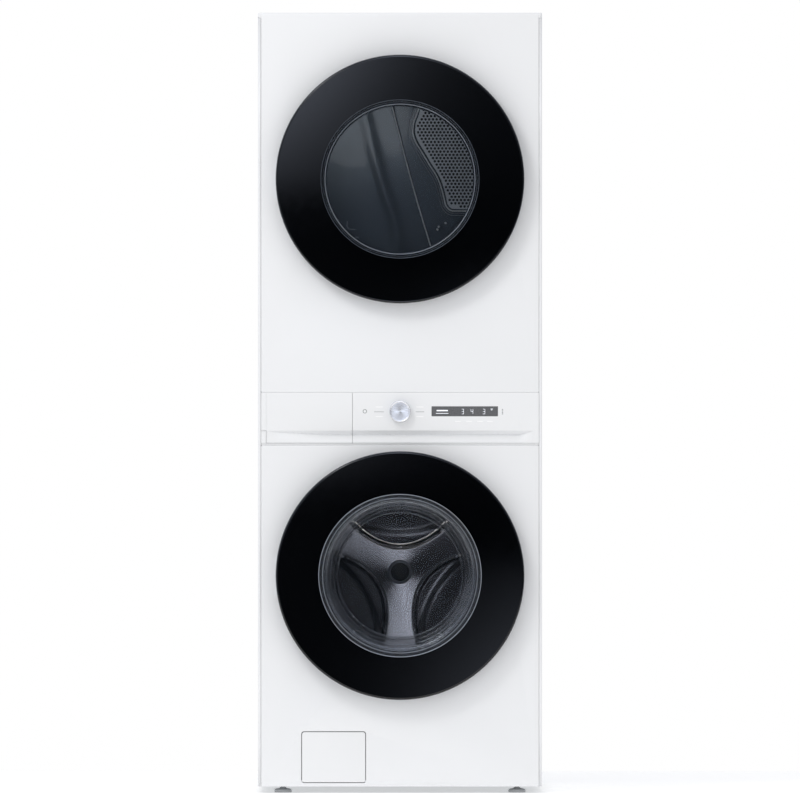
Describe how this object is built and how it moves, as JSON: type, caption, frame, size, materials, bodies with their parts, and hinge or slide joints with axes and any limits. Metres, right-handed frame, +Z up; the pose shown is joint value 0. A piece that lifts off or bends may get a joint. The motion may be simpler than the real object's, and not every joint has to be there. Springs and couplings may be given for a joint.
{
  "type": "washer dryer stack",
  "caption": "One-piece laundry tower: front-loading washer below, vented dryer above, round black glass doors, shared control panel with dial, display and drawer between.",
  "frame": {"origin": "middle of the overall box's bottom face, on the floor between the feet", "axes": "+X to the right as a user sees the front, +Y from the front (doors) to the back, +Z up"},
  "size_m": [0.686, 0.825, 1.8851],
  "materials": {
    "white_enamel": "smooth white enamel",
    "white_plastic": "satin white",
    "dial_metal": "circular brushed, pale",
    "display_glass": "smoked window",
    "black_glass": "black, polished",
    "clear_glass": "clear, polished",
    "door_trim": "dark satin",
    "grey_rubber": "matt grey",
    "black_rubber": "matt black",
    "stainless": "fine brushed",
    "galvanised": "zinc coated, dull",
    "tub_plastic": "moulded grey",
    "concrete": "rough cast",
    "steel": "plain steel",
    "dark_plastic": "moulded dark grey",
    "board_green": "lacquered circuit board",
    "drum_enamel": "blue-grey coating"
  },
  "bodies": {
    "cabinet": {"base_pan": "galvanised", "blower_housing": "galvanised", "control_board": "board_green", "control_fascia": "white_plastic", "damper_left": "dark_plastic", "damper_right": "dark_plastic", "dispenser_housing": "tub_plastic", "display_window": "display_glass", "door_gasket": "grey_rubber", "drain_pump": "tub_plastic", "drive_belt": "black_rubber", "dryer_back_panel": "galvanised", "dryer_base_pan": "galvanised", "dryer_door_lock": "dark_plastic", "dryer_front_panel": "white_enamel", "dryer_hinge_bracket": "steel", "dryer_motor": "steel", "foot_front_left": "black_rubber", "foot_front_right": "black_rubber", "foot_rear_left": "black_rubber", "foot_rear_right": "black_rubber", "front_bulkhead": "drum_enamel", "lint_chute": "galvanised", "rear_bulkhead": "drum_enamel", "side_panel_left": "white_enamel", "side_panel_right": "white_enamel", "spring_crossbar": "galvanised", "suspension_spring_left": "steel", "suspension_spring_right": "steel", "top_cover": "white_enamel", "washer_back_panel": "galvanised", "washer_door_lock": "dark_plastic", "washer_front_panel": "white_enamel", "washer_hinge_bracket": "steel", "water_inlet_valve": "tub_plastic"},
    "tub": {"tub_front": "tub_plastic", "tub_rear": "tub_plastic", "counterweight": "concrete", "motor_stator": "steel"},
    "washer_drum": {"washer_drum_wrapper": "stainless", "washer_drum_back": "stainless", "motor_rotor": "steel"},
    "washer_door": {"washer_door_frame": "door_trim", "washer_door_pane": "black_glass", "washer_door_glass": "clear_glass", "washer_hinge_arm": "steel"},
    "dryer_door": {"dryer_door_frame": "door_trim", "dryer_door_pane": "black_glass", "dryer_door_glass": "clear_glass", "dryer_hinge_arm": "steel"},
    "drawer": {"drawer_front": "white_plastic", "drawer_tray": "white_plastic"},
    "dial": {"dial_knob": "dial_metal"},
    "hatch": {"filter_hatch": "white_plastic"},
    "filter": {"pump_filter": "dark_plastic"},
    "dryer_drum": {"dryer_drum": "drum_enamel"},
    "roller_left": {"drum_roller_left": "grey_rubber"},
    "roller_right": {"drum_roller_right": "grey_rubber"},
    "motor_shaft": {"motor_shaft": "dark_plastic"},
    "lint_screen": {"lint_filter": "dark_plastic"}
  },
  "joints": [
    {"name": "washer_door_hinge", "type": "hinge", "parent": "cabinet", "child": "washer_door", "pos_m": [-0.29, -0.3845, 0.526], "axis": [0, 0, -1], "range_deg": [0, 110]},
    {"name": "dryer_door_hinge", "type": "hinge", "parent": "cabinet", "child": "dryer_door", "pos_m": [-0.29, -0.3845, 1.4826], "axis": [0, 0, -1], "range_deg": [0, 110]},
    {"name": "detergent_drawer", "type": "slide", "parent": "cabinet", "child": "drawer", "axis": [0, -1, 0], "range_m": [0, 0.26]},
    {"name": "programme_dial", "type": "hinge", "parent": "cabinet", "child": "dial", "pos_m": [0, -0.3625, 0.9223], "axis": [0, -1, 0], "continuous": true},
    {"name": "filter_hatch_hinge", "type": "hinge", "parent": "cabinet", "child": "hatch", "pos_m": [-0.1602, -0.3593, 0.0293], "axis": [1, 0, 0], "range_deg": [0, 90]},
    {"name": "pump_filter_turn", "type": "hinge", "parent": "cabinet", "child": "filter", "pos_m": [-0.1602, -0.3025, 0.09085], "axis": [0, -1, 0], "range_deg": [0, 110]},
    {"name": "tub_suspension", "type": "slide", "parent": "cabinet", "child": "tub", "axis": [0, 0, 1], "range_m": [-0.012, 0.012], "stiffness_N_per_m": 30000, "springref_m": 0.01603, "deforming": ["door_gasket", "suspension_spring_left", "suspension_spring_right"]},
    {"name": "washer_drum_spin", "type": "hinge", "parent": "tub", "child": "washer_drum", "pos_m": [0, -0.2455, 0.526], "axis": [0, -1, 0], "continuous": true},
    {"name": "dryer_drum_spin", "type": "hinge", "parent": "cabinet", "child": "dryer_drum", "pos_m": [0, -0.2875, 1.4826], "axis": [0, -1, 0], "continuous": true},
    {"name": "roller_left_spin", "type": "hinge", "parent": "cabinet", "child": "roller_left", "pos_m": [-0.18404, 0.2825, 1.18807], "axis": [0, -1, 0], "continuous": true},
    {"name": "roller_right_spin", "type": "hinge", "parent": "cabinet", "child": "roller_right", "pos_m": [0.18404, 0.2825, 1.18807], "axis": [0, -1, 0], "continuous": true},
    {"name": "motor_shaft_spin", "type": "hinge", "parent": "cabinet", "child": "motor_shaft", "pos_m": [-0.165, 0.0025, 1.0561], "axis": [0, -1, 0], "continuous": true},
    {"name": "lint_filter_lift", "type": "slide", "parent": "cabinet", "child": "lint_screen", "axis": [0, 0, 1], "range_m": [0, 0.12]}
  ],
  "couplings": [
    {"joint": "roller_left_spin", "follows": "dryer_drum_spin", "ratio": -12.88},
    {"joint": "roller_right_spin", "follows": "dryer_drum_spin", "ratio": -12.88},
    {"joint": "motor_shaft_spin", "follows": "dryer_drum_spin", "ratio": 23.107}
  ]
}
